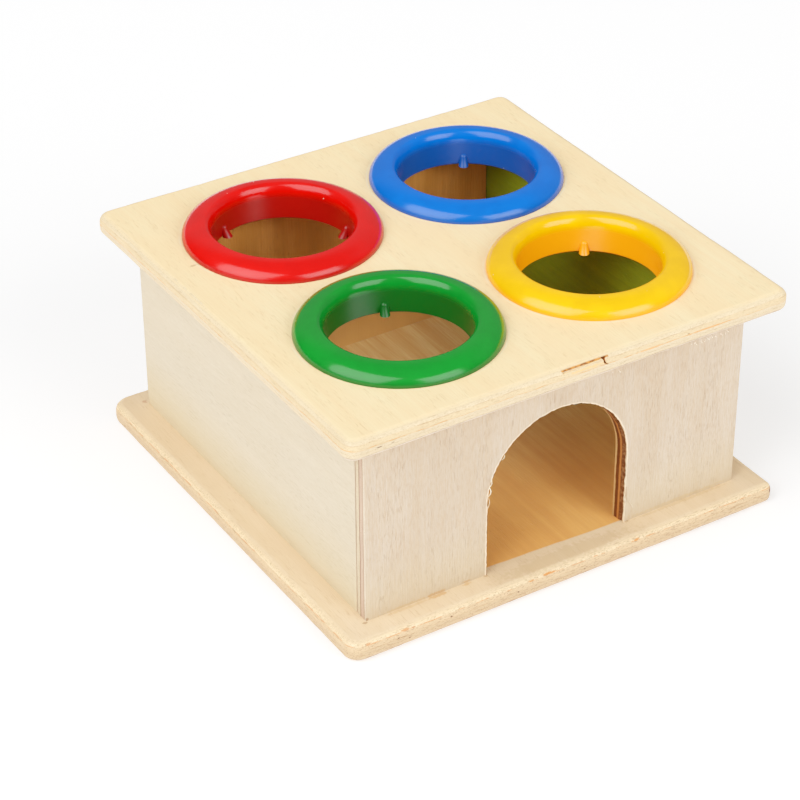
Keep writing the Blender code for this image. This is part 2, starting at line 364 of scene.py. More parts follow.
def roughen(piece, group, texture, strength, direction="NORMAL", mid_level=1.0):
    """Wears the named part of the surface by a noise, inwards unless told otherwise."""
    wear = piece.modifiers.new("wear", "DISPLACE")
    wear.texture = texture
    wear.texture_coords = "LOCAL"
    wear.direction = direction
    wear.mid_level = mid_level
    wear.strength = strength
    wear.vertex_group = group
    bpy.context.view_layer.objects.active = piece
    bpy.ops.object.modifier_apply(modifier=wear.name)


def name_group(piece, name, wanted):
    """Keeps the vertices that pass a test as a named group."""
    pick(piece, "VERT", wanted)
    bpy.ops.object.vertex_group_assign_new()
    piece.vertex_groups[-1].name = name


def cloud_texture(name, size):
    """A soft three-dimensional noise for wearing surfaces."""
    texture = bpy.data.textures.new(name, "CLOUDS")
    texture.noise_scale = size
    return texture


def hand_over(piece, finish, slot, *nodes):
    """Gives the finished piece its smooth shading, its finish and its place on the bench."""
    if bpy.context.mode != "OBJECT":
        bpy.ops.object.mode_set(mode="OBJECT")
    bpy.ops.object.select_all(action="DESELECT")
    piece.select_set(True)
    bpy.context.view_layer.objects.active = piece
    bpy.ops.object.shade_smooth_by_angle(angle=math.radians(38))
    piece.data.materials.clear()
    piece.data.materials.append(finish)
    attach(piece, "root")
    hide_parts(*nodes)


EDGE_CUTS = 140
SANDING_WEAR = 0.00022
FIBRE_WEAR = 0.00009
sanding = cloud_texture("hand_sanding", 0.014)
torn_fibre = cloud_texture("torn_fibre", 0.0009)


def sanded_plate(name, node, corners):
    """A round-cornered board in the place of a solid, with its plies in slight relief."""
    low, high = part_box(node)
    side = high.x - low.x
    bpy.ops.object.select_all(action="DESELECT")
    bpy.ops.mesh.primitive_cube_add(size=1, location=(low + high) / 2, scale=(side, side, high.z - low.z))
    board = take_in_hand(name)
    for towards_x, towards_y, radius in corners:
        corner = Vector((towards_x * side / 2, towards_y * side / 2))
        pick(board, "EDGE", lambda edge: all((end.co.xy - corner).length < PLY for end in edge.verts))
        bpy.ops.mesh.bevel(offset=radius, segments=14, affect="EDGES")
    pick(board, "EDGE", lambda edge: abs(edge.verts[0].co.z - edge.verts[1].co.z) < PLY)
    bpy.ops.mesh.bevel(offset=EDGE_ROUND, segments=8, affect="EDGES")
    for ply in range(1, 5):
        level = low.z + ply * PLY
        bpy.ops.mesh.select_all(action="SELECT")
        bpy.ops.mesh.bisect(plane_co=(0, 0, level), plane_no=(0, 0, 1))
        bpy.ops.mesh.bevel(offset=PLY_RELIEF * 1.4, segments=2, affect="EDGES")
        pick(board, "VERT", lambda corner: abs(corner.co.z - level) < PLY_RELIEF / 10)
        inward = 1 - 2 * PLY_RELIEF / side
        bpy.ops.transform.resize(value=(inward, inward, 1), center_override=(0, 0, level))
    pick(board, "EDGE", lambda edge: edge.calc_length() > side / 2)
    bpy.ops.mesh.subdivide(number_cuts=EDGE_CUTS)

    # A narrow border inside the rounding keeps the shading of the two faces flat
    pick(board, "FACE", lambda face: face.calc_area() > side * side / 2)
    bpy.ops.mesh.inset(thickness=PLY / 4)
    margin = PLY / 50
    name_group(board, "sides", lambda corner: low.z + margin < corner.co.z < high.z - margin)
    bpy.ops.object.mode_set(mode="OBJECT")
    roughen(board, "sides", sanding, SANDING_WEAR)
    roughen(board, "sides", torn_fibre, FIBRE_WEAR)
    return board


def plate_look(name, node, face_tones, side_plies, side_tones, lines, seed):
    """Starts a lacquered plate's finish: figured faces, and sides that show the plies and glue lines."""
    low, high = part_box(node)
    material, tree, shader, place, normal = new_finish(name)
    x, y, z = feed(tree, "ShaderNodeSeparateXYZ", place)
    upright = reckon(tree, "ABSOLUTE", feed(tree, "ShaderNodeSeparateXYZ", normal)[2])
    on_face = fade(tree, upright, 0.84, 0.985)
    depth = reckon(tree, "SUBTRACT", z, low.z)

    # The fibres of the plies run by turns along Y and along X
    long_grain = feed(tree, "ShaderNodeCombineXYZ", y, x, z)[0]
    fibres, pores, clouds, bands = use_effect(tree, birch_figure, long_grain, (seed, 0.2, 0.1))
    cross_fibres, cross_pores, _, _ = use_effect(tree, birch_figure, place, (0.3, seed, 0.5))
    in_cross_ply = reckon(tree, "PINGPONG", reckon(tree, "DIVIDE", depth, 2 * PLY), 0.5)
    in_cross_ply = fade(tree, in_cross_ply, 0.23, 0.27)
    side_fibres = turn_to(tree, in_cross_ply, fibres, cross_fibres)
    side_pores = turn_to(tree, in_cross_ply, pores, cross_pores)

    face = tint(tree, clouds, tone(*face_tones["ground"]), tone(*face_tones["cloud"]))
    face = wash(tree, fibres, 0.40, face, tone(*face_tones["fibre"]))
    face = wash(tree, bands, 0.30, face, tone(*face_tones["band"]))
    face = wash(tree, pores, 0.30, face, tone(*face_tones["pore"]))

    wavering = reckon(tree, "SUBTRACT", noise(tree, place, 0.0040, 0.0040, 2.0, 0.6), 0.5)
    wavering = reckon(tree, "MULTIPLY_ADD", wavering, 0.0005, depth)
    side = plies(tree, wavering, side_plies, 0.00012)
    side = wash(tree, side_fibres, 0.50, side, tone(*side_tones["fibre"]))
    side = wash(tree, side_pores, side_tones["speckle"], side, tone(*side_tones["pore"]))
    ticks = fade(tree, noise(tree, place, 0.0007, 0.00020, 2.0, 0.8), 0.52, 0.68)
    side = wash(tree, ticks, side_tones["ticks"], side, tone(*side_tones["pore"]))
    height = reckon(tree, "MULTIPLY", side_fibres, 0.6)
    for line, width, shade, strength, broken in lines:
        mask, whole = use_effect(tree, glue_line, depth, line * PLY, width * PLY, place)
        kept = reckon(tree, "MULTIPLY_ADD", whole, broken, 1 - broken)
        mask = reckon(tree, "MULTIPLY", mask, kept)
        side = wash(tree, mask, strength, side, tone(*shade))
        height = reckon(tree, "SUBTRACT", height, mask)
    colour = tint(tree, on_face, side, face)
    face_height = reckon(tree, "SUBTRACT", reckon(tree, "MULTIPLY", fibres, 0.4), pores)
    height = turn_to(tree, on_face, height, face_height)
    roughness = reckon(tree, "MULTIPLY_ADD", side_fibres, 0.12, 0.46)
    shader.inputs["Specular IOR Level"].default_value = 0.25
    figure = (fibres, clouds, bands)
    return material, tree, shader, place, (x, y, z), on_face, colour, roughness, height, figure


# Painted shade: the base's face tones are darker than the top plate's, though both are the same board
BASE_FACE = {
    "ground": (223, 205, 177),
    "cloud": (220, 200, 170),
    "fibre": (214, 193, 160),
    "band": (217, 196, 162),
    "pore": (194, 164, 130),
}
BASE_SIDE = {"fibre": (205, 178, 142), "pore": (142, 100, 62), "speckle": 0.75, "ticks": 0.50}
BASE_PLIES = (
    (0.0, (218, 200, 174)),
    (0.00120, (210, 186, 150)),
    (0.00300, (218, 194, 158)),
    (0.00410, (232, 214, 180)),
)
BASE_LINES = (
    (1.18, 0.085, (164, 122, 84), 0.85, 0.45),
    (2.10, 0.070, (182, 140, 94), 0.60, 0.85),
    (3.05, 0.070, (196, 148, 92), 0.60, 0.85),
    (4.08, 0.110, (214, 146, 84), 0.85, 1.00),
)
BASE_MARKS = (
    ((-53.2, -54.5, 4.4), (1.5, 0.9, 0.35), (214, 146, 70), 0.85),
    ((-50.4, -54.7, 4.3), (0.9, 0.9, 0.25), (206, 130, 66), 0.70),
    ((-41.6, -54.7, 4.3), (1.5, 0.9, 0.28), (204, 132, 70), 0.75),
    ((-39.7, -54.8, 4.2), (0.5, 0.9, 0.20), (190, 112, 56), 0.80),
    ((-10.4, -54.8, 4.2), (0.9, 0.9, 0.25), (212, 144, 68), 0.80),
    ((-5.4, -54.8, 4.3), (2.4, 0.9, 0.28), (212, 140, 62), 0.90),
    ((16.9, -54.8, 4.2), (1.2, 0.9, 0.30), (212, 142, 66), 0.90),
    ((-30.6, -55.0, 3.4), (0.45, 0.5, 0.30), (112, 74, 46), 0.90),
    ((-40.9, -55.0, 2.1), (0.35, 0.5, 0.25), (120, 80, 50), 0.85),
    ((-43.6, -55.0, 3.1), (0.35, 0.5, 0.25), (130, 90, 60), 0.80),
    ((-13.8, -55.0, 2.9), (0.45, 0.5, 0.28), (104, 80, 58), 0.90),
    ((3.3, -55.0, 2.1), (0.30, 0.5, 0.20), (120, 84, 56), 0.80),
    ((54.6, -54.5, 3.3), (1.3, 1.3, 0.80), (128, 72, 34), 0.92),
    ((40.0, -54.9, 0.5), (16.0, 1.2, 0.55), (150, 108, 72), 0.55),
    ((-48.2, 49.3, 5.0), (0.8, 0.8, 0.4), (196, 146, 118), 0.60),
    ((-48.0, -48.9, 5.0), (0.6, 0.5, 0.5), (160, 112, 70), 0.60),
    # Bands along the front wall's foot: painted warm shade in the crease where the wall meets the base
    ((-38.0, -49.2, 5.0), (6.0, 0.5, 0.4), (206, 176, 126), 0.40),
    ((-30.5, -49.1, 5.0), (3.0, 0.6, 0.4), (204, 160, 96), 0.60),
    ((-23.0, -49.0, 5.0), (1.2, 0.5, 0.4), (204, 160, 96), 0.50),
    ((33.0, -49.1, 5.0), (14.0, 0.6, 0.4), (200, 170, 118), 0.30),
    # Painted shadow on the floor at the foot of the door's right jamb
    ((18.8, -48.2, 5.0), (1.0, 1.0, 0.4), (150, 104, 60), 0.55),
    # Painted shade on the ledge in front of the door, under the top plate's overhang
    ((1.0, -51.5, 5.0), (21.0, 3.0, 1.2), (206, 182, 142), 0.45),
    ((-18.2, -48.5, 5.0), (0.7, 0.8, 0.4), (160, 116, 70), 0.55),
)
base_board = sanded_plate("base_board", "base_plate", BASE_CORNERS)
look = plate_look("lacquered_base_birch", "base_plate", BASE_FACE, BASE_PLIES, BASE_SIDE, BASE_LINES, 0.13)
base_finish, tree, shader, place, (x, y, z), on_face, colour, roughness, height, figure = look
fibres, clouds, bands = figure

# Inside the box, from the middle of the front wall's foot to the other walls, the face is amber
FLOOR_FRONT = -0.0474
FLOOR_SKEW = -0.035
FLOOR_WAVER = 0.0003
FLOOR_SIDE = 0.0443
FLOOR_BACK = 0.0453
start = reckon(tree, "MULTIPLY_ADD", x, FLOOR_SKEW, FLOOR_FRONT)
start = reckon(tree, "MULTIPLY_ADD", clouds, FLOOR_WAVER, start)
inside = fade(tree, reckon(tree, "SUBTRACT", y, start), -0.00015, 0.00025)
inside = reckon(tree, "MULTIPLY", inside, between(tree, x, -FLOOR_SIDE, FLOOR_SIDE, 0.0002))
inside = reckon(tree, "MULTIPLY", inside, fade(tree, y, FLOOR_BACK, FLOOR_BACK - 0.0003))
inside = reckon(tree, "MULTIPLY", inside, reckon(tree, "MULTIPLY", on_face, fade(tree, z, PLY, 2 * PLY)))
floor_tone = tint(tree, clouds, tone(226, 183, 112), tone(223, 175, 102))
# Painted light: the amber floor turns paler from the door towards the back of the box
floor_tone = wash(tree, fade(tree, y, -0.034, 0.020), 0.85, floor_tone, tone(254, 220, 172))
floor_tone = wash(tree, bands, 0.38, floor_tone, tone(213, 159, 90))
floor_tone = wash(tree, fibres, 0.45, floor_tone, tone(215, 164, 96))
colour = tint(tree, inside, colour, floor_tone)
colour = put_marks(tree, place, colour, BASE_MARKS)
lay_on(tree, shader, colour, roughness, height, PLATE_RELIEF)
hand_over(base_board, base_finish, "plate_birch", "base_plate")


# Walls: three-ply birch panels, 3.4 mm thick, glued on edge between the plates. The front panel
# covers the ends of the side panels, and the back panel stands between them. Their faces are bare,
# sanded pale outside and amber inside. The right panel is painted green on its inside.
PANEL = wall_high.y - wall_low.y
GLUE_SEAM = wall_low.z - plate_high.z
ARRIS = 0.00018
PANEL_CUTS = 60
# How far up the panels' outer and inner faces the painted bounce light from the base reaches
OUTER_FOOT_BOUNCE_LIGHT = 0.018
INNER_FOOT_BOUNCE_LIGHT = 0.020
wall_foot = plate_high.z
wall_head = wall_high.z + GLUE_SEAM


def glued_panel(name, node):
    """A panel in the place of a solid, run on through the glue seams to touch both plates."""
    low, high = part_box(node)
    size = (high.x - low.x, high.y - low.y, wall_head - wall_foot)
    centre = ((low.x + high.x) / 2, (low.y + high.y) / 2, (wall_head + wall_foot) / 2)
    bpy.ops.object.select_all(action="DESELECT")
    bpy.ops.mesh.primitive_cube_add(size=1, location=centre, scale=size)
    panel = take_in_hand(name)
    pick(panel, "EDGE", lambda edge: abs(edge.verts[0].co.z - edge.verts[1].co.z) > PANEL)
    bpy.ops.mesh.bevel(offset=ARRIS, segments=2, affect="EDGES")
    pick(panel, "EDGE", lambda edge: edge.calc_length() > 2 * PANEL)
    bpy.ops.mesh.subdivide(number_cuts=PANEL_CUTS)
    bpy.ops.object.mode_set(mode="OBJECT")
    return panel


def panel_look(name, node, axis, side, upright_grain, outside, inside, seed):
    """Starts a bare panel's finish: two figured faces, and edges with a core between two veneers."""
    low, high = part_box(node)
    material, tree, shader, place, normal = new_finish(name)
    parts = feed(tree, "ShaderNodeSeparateXYZ", place)
    facing = reckon(tree, "MULTIPLY", feed(tree, "ShaderNodeSeparateXYZ", normal)[axis], side)
    outer_face = high[axis] if side > 0 else low[axis]
    depth = reckon(tree, "MULTIPLY", reckon(tree, "SUBTRACT", outer_face, parts[axis]), side)
    on_outer = reckon(tree, "MULTIPLY", fade(tree, facing, 0.60, 0.90), fade(tree, depth, 0.0004, 0.0002))
    on_inner = fade(tree, facing, -0.60, -0.90)

    run = parts[1 - axis]
    grain = (parts[2], run, parts[axis]) if upright_grain else (run, parts[2], parts[axis])
    cross = (run, parts[2], parts[axis]) if upright_grain else (parts[2], run, parts[axis])
    grain = feed(tree, "ShaderNodeCombineXYZ", *grain)[0]
    cross = feed(tree, "ShaderNodeCombineXYZ", *cross)[0]
    fibres, pores, clouds, bands = use_effect(tree, birch_figure, grain, (seed, 0.6, 0.3))
    inner_fibres, _, inner_clouds, inner_bands = use_effect(tree, birch_figure, grain, (0.9, seed, 0.4))
    core_fibres, core_pores, _, _ = use_effect(tree, birch_figure, cross, (seed, 0.7, 0.2))

    outer = tint(tree, clouds, tone(*outside["ground"]), tone(*outside["cloud"]))
    outer = wash(tree, bands, 0.35, outer, tone(*outside["band"]))
    outer = wash(tree, fibres, outside["fibre_share"], outer, tone(*outside["fibre"]))
    outer = wash(tree, pores, outside["pore_share"], outer, tone(*outside["pore"]))
    nap = fade(tree, noise(tree, grain, 0.0015, 0.00026, 2.0, 0.9), 0.42, 0.66)
    outer = wash(tree, nap, outside["nap_share"], outer, tone(*outside["nap"]))
    # Painted bounce light: the outer face turns warmer towards its foot, as if lit off the base plate
    foot = fade(tree, parts[2], wall_foot + OUTER_FOOT_BOUNCE_LIGHT, wall_foot)
    outer = wash(tree, foot, 0.45, outer, tone(*outside["foot"]))

    inner = tint(tree, inner_clouds, tone(*inside["ground"]), tone(*inside["cloud"]))
    inner = wash(tree, inner_fibres, 0.40, inner, tone(*inside["fibre"]))
    inner = wash(tree, inner_bands, 0.45, inner, tone(*inside["fibre"]))
    # Painted bounce light: the inner face turns paler towards its foot, as if lit off the floor
    foot = fade(tree, parts[2], wall_foot + INNER_FOOT_BOUNCE_LIGHT, wall_foot)
    inner = wash(tree, foot, 0.80, inner, tone(*inside["foot"]))

    wavering = reckon(tree, "SUBTRACT", noise(tree, place, 0.0050, 0.0050, 2.0, 0.6), 0.5)
    wavering = reckon(tree, "MULTIPLY_ADD", wavering, 0.00035, depth)
    edge = plies(tree, wavering, PANEL_PLIES, 0.00006)
    edge = wash(tree, core_fibres, 0.30, edge, tone(186, 156, 130))
    edge = wash(tree, core_pores, 0.40, edge, tone(138, 100, 74))
    colour = tint(tree, on_inner, tint(tree, on_outer, edge, outer), inner)
    height = reckon(tree, "SUBTRACT", reckon(tree, "MULTIPLY", fibres, 0.8), pores)
    roughness = reckon(tree, "MULTIPLY_ADD", fibres, 0.12, 0.60)
    shader.inputs["Specular IOR Level"].default_value = 0.18
    return material, tree, shader, place, parts, wavering, (on_outer, on_inner), colour, roughness, height


PANEL_PLIES = (
    (0.0, (216, 204, 184)),
    (0.00062, (160, 118, 90)),
    (0.00080, (204, 182, 162)),
    (0.00188, (140, 96, 68)),
    (0.00215, (212, 198, 172)),
)
PALE_FRONT = {
    "ground": (208, 195, 178),
    "cloud": (204, 189, 170),
    "band": (199, 182, 160),
    "fibre": (200, 178, 149),
    "pore": (172, 138, 104),
    "nap": (190, 160, 128),
    "foot": (208, 192, 160),
    "fibre_share": 0.45,
    "pore_share": 0.30,
    "nap_share": 0.30,
}
PALE_SIDE = {
    "ground": (212, 201, 181),
    "cloud": (210, 198, 176),
    "band": (206, 195, 174),
    "fibre": (204, 192, 170),
    "pore": (186, 168, 142),
    "foot": (212, 194, 152),
    "nap": (198, 180, 152),
    "fibre_share": 0.30,
    "pore_share": 0.25,
    "nap_share": 0.20,
}
AMBER_INSIDE = {
    "ground": (210, 162, 88),
    "cloud": (204, 152, 72),
    "fibre": (186, 134, 56),
    "foot": (248, 208, 148),
}
GREEN_PAINT = {
    "ground": (146, 156, 24),
    "cloud": (138, 148, 22),
    "fibre": (120, 130, 18),
    "foot": (146, 156, 24),
}

# Front panel: the arched door is sawn out of it. The saw leaves the core a little proud of the outer
# veneer, scorched, and tears the veneer's edge: a thin ragged lip, pale veneer with a painted highlight.
DOOR_WIDTH = 0.0358
DOOR_CROWN = 0.0411
VENEER = 0.00055
CORE_LEDGE = 0.00050
LIP = 0.00012
LIP_WEAR = 0.00042
CORE_WEAR = 0.00016
FRONT_RELIEF = 0.00007
door_spring = DOOR_CROWN - DOOR_WIDTH / 2
core_width = DOOR_WIDTH - 2 * CORE_LEDGE


def combine(piece, tool, operation):
    """Cuts a shape out of a piece or joins it on, and removes the shape."""
    if bpy.context.mode != "OBJECT":
        bpy.ops.object.mode_set(mode="OBJECT")
    work = piece.modifiers.new("work", "BOOLEAN")
    work.operation = operation
    work.object = tool
    bpy.context.view_layer.objects.active = piece
    bpy.ops.object.modifier_apply(modifier=work.name)
    bpy.data.objects.remove(tool)


front_panel = glued_panel("front_panel", "front_wall")
bpy.ops.object.select_all(action="DESELECT")
bpy.ops.mesh.primitive_cylinder_add(
    vertices=400,
    radius=core_width / 2,
    depth=4 * PANEL,
    location=(0, (wall_low.y + wall_high.y) / 2, door_spring),
    rotation=(math.radians(90), 0, 0),
)
door_cut = take_in_hand("door_cut")
bpy.ops.mesh.select_all(action="SELECT")
bpy.ops.mesh.bisect(plane_co=(0, 0, door_spring), plane_no=(0, 0, 1), use_fill=True, clear_inner=True)
pick(door_cut, "FACE", lambda face: face.normal.z < -0.99)
bpy.ops.mesh.extrude_region_move(TRANSFORM_OT_translate={"value": (0, 0, wall_foot - PLY - door_spring)})
pick(door_cut, "EDGE", lambda edge: abs(edge.verts[0].co.z - edge.verts[1].co.z) > PANEL)
bpy.ops.mesh.subdivide(number_cuts=90)
combine(front_panel, door_cut, "DIFFERENCE")


def in_doorway(corner):
    """Is this corner of the front panel on the door's sawn edge?"""
    across, up = abs(corner.co.x), corner.co.z
    if up < door_spring:
        return across < core_width / 2 + ARRIS
    return math.hypot(across, up - door_spring) < core_width / 2 + ARRIS


def widen_doorway(back, wider):
    """Moves the door's edge outwards from the middle of the door, as deep as a given plane."""
    more = 1 + wider / (core_width / 2)
    middle = (0, wall_low.y, door_spring)
    chosen = set()
    shape = bmesh.from_edit_mesh(front_panel.data)
    for corner in shape.verts:
        if in_doorway(corner) and corner.co.y < back:
            chosen.add(corner.index)
    pick(front_panel, "VERT", lambda corner: corner.index in chosen and corner.co.z >= door_spring)
    bpy.ops.transform.resize(value=(more, 1, more), center_override=middle)
    pick(front_panel, "VERT", lambda corner: corner.index in chosen and corner.co.z < door_spring)
    bpy.ops.transform.resize(value=(more, 1, 1), center_override=middle)


bpy.ops.object.select_all(action="DESELECT")
bpy.context.view_layer.objects.active = front_panel
front_panel.select_set(True)
bpy.ops.object.mode_set(mode="EDIT")
for line in (VENEER / 2, VENEER, 1.1 * VENEER, 0.0013, 0.0020, 0.0026, PANEL - ARRIS):
    bpy.ops.mesh.select_all(action="SELECT")
    bpy.ops.mesh.bisect(plane_co=(0, wall_low.y + line, 0), plane_no=(0, 1, 0))
core_front = wall_low.y + 1.05 * VENEER
core_back = wall_high.y - ARRIS / 2
lip_back = wall_low.y + 0.7 * VENEER
name_group(front_panel, "core", lambda corner: in_doorway(corner) and core_front < corner.co.y < core_back)
name_group(front_panel, "lip", lambda corner: in_doorway(corner) and corner.co.y < lip_back)
widen_doorway(core_front, CORE_LEDGE)
widen_doorway(wall_low.y + ARRIS / 2, LIP)
bpy.ops.object.mode_set(mode="OBJECT")
roughen(front_panel, "lip", cloud_texture("torn_lip_across", 0.0008), LIP_WEAR, "X", 0.5)
roughen(front_panel, "lip", cloud_texture("torn_lip_up", 0.0009), LIP_WEAR, "Z", 0.5)
roughen(front_panel, "core", torn_fibre, CORE_WEAR)


def torn_fibre_piece(carrier, places, thickness):
    """A thin torn fibre through the given places, in millimetres, fixed to the piece that carries it."""
    bpy.ops.object.select_all(action="DESELECT")
    bpy.ops.curve.primitive_bezier_curve_add()
    fibre = bpy.context.object
    points = fibre.data.splines[0].bezier_points
    points.add(len(places) - 2)
    for point, spot in zip(points, places):
        point.handle_left_type = "AUTO"
        point.handle_right_type = "AUTO"
        point.co = [length / 1000 for length in spot]
    fibre.data.bevel_depth = thickness / 1000
    fibre.data.bevel_resolution = 1
    fibre.data.resolution_u = 8
    fibre.data.use_fill_caps = True
    bpy.ops.object.transform_apply(location=True, rotation=True, scale=True)
    bpy.ops.object.convert(target="MESH")
    bpy.ops.object.mode_set(mode="EDIT")
    bpy.ops.mesh.select_all(action="SELECT")
    bpy.ops.mesh.remove_doubles(threshold=ARRIS / 1000)
    bpy.ops.object.mode_set(mode="OBJECT")
    carrier.select_set(True)
    bpy.context.view_layer.objects.active = carrier
    bpy.ops.object.join()


DOOR_FIBRES = (
    (((-17.9, -48.72, 25.2), (-17.3, -48.80, 26.0), (-17.5, -48.85, 27.3), (-17.8, -48.7, 27.6)), 0.10),
    (((-17.9, -48.70, 27.4), (-17.2, -48.90, 28.2), (-17.1, -48.85, 29.2), (-17.4, -48.7, 29.8)), 0.07),
    (((-17.8, -48.72, 22.4), (-17.5, -48.80, 23.8), (-17.7, -48.75, 24.9)), 0.06),
    (((-14.6, -48.72, 33.4), (-14.1, -48.85, 33.9), (-13.9, -48.75, 34.4)), 0.06),
    (((18.1, -48.66, 11.6), (19.3, -48.80, 9.6), (20.0, -48.80, 8.2), (19.7, -48.66, 6.8)), 0.045),
    (((17.9, -48.70, 17.0), (17.5, -48.85, 16.2), (17.8, -48.70, 15.3)), 0.08),
    (((17.8, -48.70, 12.6), (17.6, -48.80, 11.4), (17.8, -48.70, 10.6)), 0.06),
)
for places, thickness in DOOR_FIBRES:
    torn_fibre_piece(front_panel, places, thickness)

look = panel_look("bare_front_birch", "front_wall", 1, -1, True, PALE_FRONT, AMBER_INSIDE, 0.23)
front_finish, tree, shader, place, parts, depth, (on_outer, on_inner), colour, roughness, height = look
above_spring = reckon(tree, "MAXIMUM", reckon(tree, "SUBTRACT", parts[2], door_spring), 0.0)
from_door = feed(tree, "ShaderNodeCombineXYZ", parts[0], 0.0, above_spring)[0]
from_door = feed(tree, "ShaderNodeVectorMath", from_door, operation="LENGTH")[1]
from_door = reckon(tree, "SUBTRACT", from_door, DOOR_WIDTH / 2)
SCORCHED_PLIES = (
    (0.0, (226, 208, 178)),
    (0.00032, (122, 68, 26)),
    (0.00128, (194, 132, 68)),
    (0.00192, (126, 70, 26)),
    (0.00295, (206, 170, 116)),
)
scorched = plies(tree, depth, SCORCHED_PLIES, 0.00008)
patchy = fade(tree, noise(tree, place, 0.0011, 0.0011, 3.0, 0.8), 0.44, 0.62)
on_core = between(tree, depth, 0.00045, 0.00120, 0.00008)
scorched = wash(tree, reckon(tree, "MULTIPLY", patchy, on_core), 0.45, scorched, tone(186, 140, 94))
in_door = fade(tree, from_door, 0.00032, 0.00022)
not_face = reckon(tree, "SUBTRACT", 1.0, reckon(tree, "MAXIMUM", on_outer, on_inner))
colour = tint(tree, reckon(tree, "MULTIPLY", in_door, not_face), colour, scorched)
# The lip: a thin ragged pale band along the door's edge on the outer face, torn veneer with a painted
# highlight
lip_and_highlight_reach = noise(tree, place, 0.0012, 0.0012, 3.0, 0.35)
lip_and_highlight_reach = reckon(tree, "MULTIPLY_ADD", lip_and_highlight_reach, -0.0004, from_door)
lip = reckon(tree, "MULTIPLY", fade(tree, lip_and_highlight_reach, 0.00014, -0.00002), on_outer)
colour = wash(tree, lip, 0.70, colour, tone(234, 220, 198))
FRONT_MARKS = (
    ((-47.3, -48.6, 5.4), (0.6, 0.5, 0.5), (150, 106, 68), 0.60),
    # Bands along the wall's foot: painted warm shade in the crease where it meets the base
    ((-38.0, -48.6, 5.2), (7.0, 0.5, 0.45), (206, 178, 132), 0.50),
    ((-30.4, -48.6, 5.3), (3.2, 0.5, 0.50), (200, 160, 104), 0.60),
    ((-23.0, -48.6, 5.3), (1.3, 0.5, 0.40), (200, 160, 104), 0.55),
    ((32.5, -48.6, 5.5), (15.0, 0.5, 0.60), (206, 180, 132), 0.35),
    ((18.2, -48.6, 12.6), (0.35, 0.5, 2.2), (176, 140, 104), 0.50),
    ((17.6, -48.6, 15.4), (0.5, 0.9, 0.35), (236, 224, 204), 0.90),
    ((-12.0, -48.6, 41.5), (0.30, 0.5, 1.4), (168, 142, 116), 0.45),
    ((-1.6, -48.6, 44.0), (0.25, 0.5, 1.8), (160, 134, 108), 0.45),
)
colour = put_marks(tree, place, colour, FRONT_MARKS)
standing_proud = fade(tree, depth, -0.00022, -0.00030)
colour = tint(tree, standing_proud, colour, tone(238, 228, 210))
lay_on(tree, shader, colour, roughness, height, FRONT_RELIEF)
hand_over(front_panel, front_finish, "wall_birch", "front_wall")

# Back and side panels: the same panel uncut, and sanded a little smoother at the sides
SIDE_RELIEF = 0.00005
back_work = (1, 1, True, PALE_FRONT, AMBER_INSIDE, 0.41)
left_work = (0, -1, False, PALE_SIDE, AMBER_INSIDE, 0.59)
right_work = (0, 1, False, PALE_SIDE, GREEN_PAINT, 0.67)
PLAIN_PANELS = (
    ("back_panel", "back_wall", "bare_back_birch", back_work, FRONT_RELIEF),
    ("left_panel", "left_wall", "bare_left_birch", left_work, SIDE_RELIEF),
    ("right_panel", "right_wall", "painted_right_birch", right_work, SIDE_RELIEF),
)
for piece_name, wall_node, finish_name, panel_work, relief in PLAIN_PANELS:
    panel = glued_panel(piece_name, wall_node)
    look = panel_look(finish_name, wall_node, *panel_work)
    panel_finish, tree, shader = look[:3]
    colour, roughness, height = look[7:]
    lay_on(tree, shader, colour, roughness, height, relief)
    hand_over(panel, panel_finish, "wall_birch", wall_node)


# Top plate: the same board as the base, glued on the walls, with four sawn holes for the rings. On its
# front edge a ply stops short, which leaves a slit with a torn end, and the underside is frayed.
TOP_CORNERS = ((-1, -1, 0.0030), (1, -1, 0.0030), (1, 1, 0.0028), (-1, 1, 0.0035))
HOLE_RADIUS = 0.01755
RING_CENTRES = {}
for ring_node in ("red_ring", "blue_ring", "yellow_ring", "green_ring"):
    ring_low, ring_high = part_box(ring_node)
    RING_CENTRES[ring_node] = ((ring_low.x + ring_high.x) / 2, (ring_low.y + ring_high.y) / 2)
top_low, top_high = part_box("top_plate")
top_middle = (top_low.z + top_high.z) / 2

top_board = sanded_plate("top_board", "top_plate", TOP_CORNERS)
for across, along in RING_CENTRES.values():
    hole_place = (across, along, top_middle)
    bpy.ops.object.select_all(action="DESELECT")
    bpy.ops.mesh.primitive_cylinder_add(vertices=96, radius=HOLE_RADIUS, depth=8 * PLY, location=hole_place)
    combine(top_board, take_in_hand("hole_cut"), "DIFFERENCE")

# The slit's outline on the front edge, in millimetres: a thin crack with a torn, forked right end
SLIT_OUTLINE = (
    (-4.2, 54.02),
    (-3.9, 53.90),
    (-3.3, 54.02),
    (1.0, 54.13),
    (5.5, 54.24),
    (5.85, 54.10),
    (5.92, 53.35),
    (6.4, 52.95),
    (7.0, 52.62),
    (7.1, 52.85),
    (6.5, 53.32),
    (6.36, 54.10),
    (6.6, 54.50),
    (5.6, 54.56),
    (5.3, 54.38),
    (1.0, 54.26),
    (-3.2, 54.16),
    (-4.0, 54.25),
)
SLIT_DEPTH = 0.0016
bpy.ops.object.select_all(action="DESELECT")
bpy.ops.mesh.primitive_circle_add(vertices=len(SLIT_OUTLINE), radius=PLY, fill_type="NGON")
slit_cut = take_in_hand("slit_cut")
shape = bmesh.from_edit_mesh(slit_cut.data)
for corner, (across, up) in zip(shape.verts, SLIT_OUTLINE):
    corner.co = (across / 1000, top_low.y - SLIT_DEPTH, up / 1000)
bmesh.update_edit_mesh(slit_cut.data)
bpy.ops.mesh.select_all(action="SELECT")
bpy.ops.mesh.extrude_region_move(TRANSFORM_OT_translate={"value": (0, 2 * SLIT_DEPTH, 0)})
bpy.ops.mesh.select_all(action="SELECT")
bpy.ops.mesh.normals_make_consistent(inside=False)
combine(top_board, slit_cut, "DIFFERENCE")

